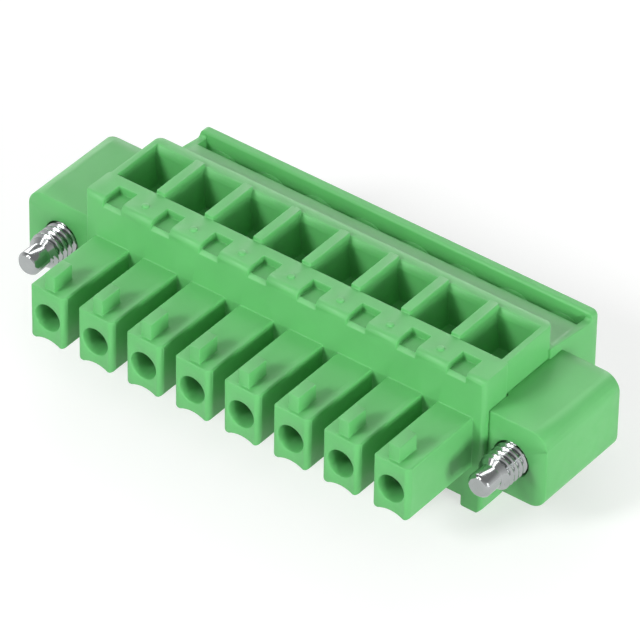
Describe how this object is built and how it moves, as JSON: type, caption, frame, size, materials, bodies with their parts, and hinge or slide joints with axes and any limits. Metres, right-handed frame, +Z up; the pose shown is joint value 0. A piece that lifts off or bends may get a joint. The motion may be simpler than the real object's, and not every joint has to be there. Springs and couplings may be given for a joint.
{
  "type": "pluggable terminal block",
  "caption": "Green pluggable terminal block: a row of plug fingers in front, wire wells on top, screw clamps behind and a flange with a steel screw at each end.",
  "frame": {"origin": "middle of the bounding box's base, at the bottom of the two feet", "axes": "+X along the row from pole 1 to pole 8, -Y the way the plug goes into its header, +Z up out of the wire wells"},
  "size_m": [0.0404, 0.0182, 0.0106],
  "materials": {
    "green_plastic": "moulded polyamide, satin",
    "zinc_steel": "bright zinc plate",
    "tinned_brass": "bright tin plate",
    "nickel_brass": "bright nickel plate"
  },
  "bodies": {
    "plug_body": {"housing": "green_plastic", "flange_left": "green_plastic", "flange_right": "green_plastic", "contact_1": "tinned_brass", "contact_2": "tinned_brass", "contact_3": "tinned_brass", "contact_4": "tinned_brass", "contact_5": "tinned_brass", "contact_6": "tinned_brass", "contact_7": "tinned_brass", "contact_8": "tinned_brass"},
    "clamp_screw_1": {"clamp_screw_1": "zinc_steel"},
    "wire_clamp_1": {"wire_clamp_1": "nickel_brass"},
    "clamp_screw_2": {"clamp_screw_2": "zinc_steel"},
    "wire_clamp_2": {"wire_clamp_2": "nickel_brass"},
    "clamp_screw_3": {"clamp_screw_3": "zinc_steel"},
    "wire_clamp_3": {"wire_clamp_3": "nickel_brass"},
    "clamp_screw_4": {"clamp_screw_4": "zinc_steel"},
    "wire_clamp_4": {"wire_clamp_4": "nickel_brass"},
    "clamp_screw_5": {"clamp_screw_5": "zinc_steel"},
    "wire_clamp_5": {"wire_clamp_5": "nickel_brass"},
    "clamp_screw_6": {"clamp_screw_6": "zinc_steel"},
    "wire_clamp_6": {"wire_clamp_6": "nickel_brass"},
    "clamp_screw_7": {"clamp_screw_7": "zinc_steel"},
    "wire_clamp_7": {"wire_clamp_7": "nickel_brass"},
    "clamp_screw_8": {"clamp_screw_8": "zinc_steel"},
    "wire_clamp_8": {"wire_clamp_8": "nickel_brass"},
    "flange_screw_left": {"flange_screw_left": "zinc_steel"},
    "flange_screw_right": {"flange_screw_right": "zinc_steel"}
  },
  "joints": [
    {"name": "clamp_screw_1_turn", "type": "hinge", "parent": "plug_body", "child": "clamp_screw_1", "pos_m": [-0.01303, 0.00719, 0.0057], "axis": [0, -1, 0], "range_deg": [0, 1440]},
    {"name": "wire_clamp_1_draw", "type": "slide", "parent": "plug_body", "child": "wire_clamp_1", "axis": [0, 1, 0], "range_m": [0, 0.0016]},
    {"name": "clamp_screw_2_turn", "type": "hinge", "parent": "plug_body", "child": "clamp_screw_2", "pos_m": [-0.00923, 0.00719, 0.0057], "axis": [0, -1, 0], "range_deg": [0, 1440]},
    {"name": "wire_clamp_2_draw", "type": "slide", "parent": "plug_body", "child": "wire_clamp_2", "axis": [0, 1, 0], "range_m": [0, 0.0016]},
    {"name": "clamp_screw_3_turn", "type": "hinge", "parent": "plug_body", "child": "clamp_screw_3", "pos_m": [-0.00541, 0.00719, 0.0057], "axis": [0, -1, 0], "range_deg": [0, 1440]},
    {"name": "wire_clamp_3_draw", "type": "slide", "parent": "plug_body", "child": "wire_clamp_3", "axis": [0, 1, 0], "range_m": [0, 0.0016]},
    {"name": "clamp_screw_4_turn", "type": "hinge", "parent": "plug_body", "child": "clamp_screw_4", "pos_m": [-0.00161, 0.00719, 0.0057], "axis": [0, -1, 0], "range_deg": [0, 1440]},
    {"name": "wire_clamp_4_draw", "type": "slide", "parent": "plug_body", "child": "wire_clamp_4", "axis": [0, 1, 0], "range_m": [0, 0.0016]},
    {"name": "clamp_screw_5_turn", "type": "hinge", "parent": "plug_body", "child": "clamp_screw_5", "pos_m": [0.0022, 0.00719, 0.0057], "axis": [0, -1, 0], "range_deg": [0, 1440]},
    {"name": "wire_clamp_5_draw", "type": "slide", "parent": "plug_body", "child": "wire_clamp_5", "axis": [0, 1, 0], "range_m": [0, 0.0016]},
    {"name": "clamp_screw_6_turn", "type": "hinge", "parent": "plug_body", "child": "clamp_screw_6", "pos_m": [0.00602, 0.00719, 0.0057], "axis": [0, -1, 0], "range_deg": [0, 1440]},
    {"name": "wire_clamp_6_draw", "type": "slide", "parent": "plug_body", "child": "wire_clamp_6", "axis": [0, 1, 0], "range_m": [0, 0.0016]},
    {"name": "clamp_screw_7_turn", "type": "hinge", "parent": "plug_body", "child": "clamp_screw_7", "pos_m": [0.00983, 0.00719, 0.0057], "axis": [0, -1, 0], "range_deg": [0, 1440]},
    {"name": "wire_clamp_7_draw", "type": "slide", "parent": "plug_body", "child": "wire_clamp_7", "axis": [0, 1, 0], "range_m": [0, 0.0016]},
    {"name": "clamp_screw_8_turn", "type": "hinge", "parent": "plug_body", "child": "clamp_screw_8", "pos_m": [0.01363, 0.00719, 0.0057], "axis": [0, -1, 0], "range_deg": [0, 1440]},
    {"name": "wire_clamp_8_draw", "type": "slide", "parent": "plug_body", "child": "wire_clamp_8", "axis": [0, 1, 0], "range_m": [0, 0.0016]},
    {"name": "flange_screw_left_turn", "type": "hinge", "parent": "plug_body", "child": "flange_screw_left", "pos_m": [-0.01756, 0, 0.00507], "axis": [0, -1, 0], "continuous": true},
    {"name": "flange_screw_right_turn", "type": "hinge", "parent": "plug_body", "child": "flange_screw_right", "pos_m": [0.01756, 0, 0.00507], "axis": [0, -1, 0], "continuous": true}
  ],
  "couplings": [
    {"joint": "clamp_screw_1_turn", "follows": "wire_clamp_1_draw", "rad_per_m": 15708},
    {"joint": "clamp_screw_2_turn", "follows": "wire_clamp_2_draw", "rad_per_m": 15708},
    {"joint": "clamp_screw_3_turn", "follows": "wire_clamp_3_draw", "rad_per_m": 15708},
    {"joint": "clamp_screw_4_turn", "follows": "wire_clamp_4_draw", "rad_per_m": 15708},
    {"joint": "clamp_screw_5_turn", "follows": "wire_clamp_5_draw", "rad_per_m": 15708},
    {"joint": "clamp_screw_6_turn", "follows": "wire_clamp_6_draw", "rad_per_m": 15708},
    {"joint": "clamp_screw_7_turn", "follows": "wire_clamp_7_draw", "rad_per_m": 15708},
    {"joint": "clamp_screw_8_turn", "follows": "wire_clamp_8_draw", "rad_per_m": 15708}
  ]
}
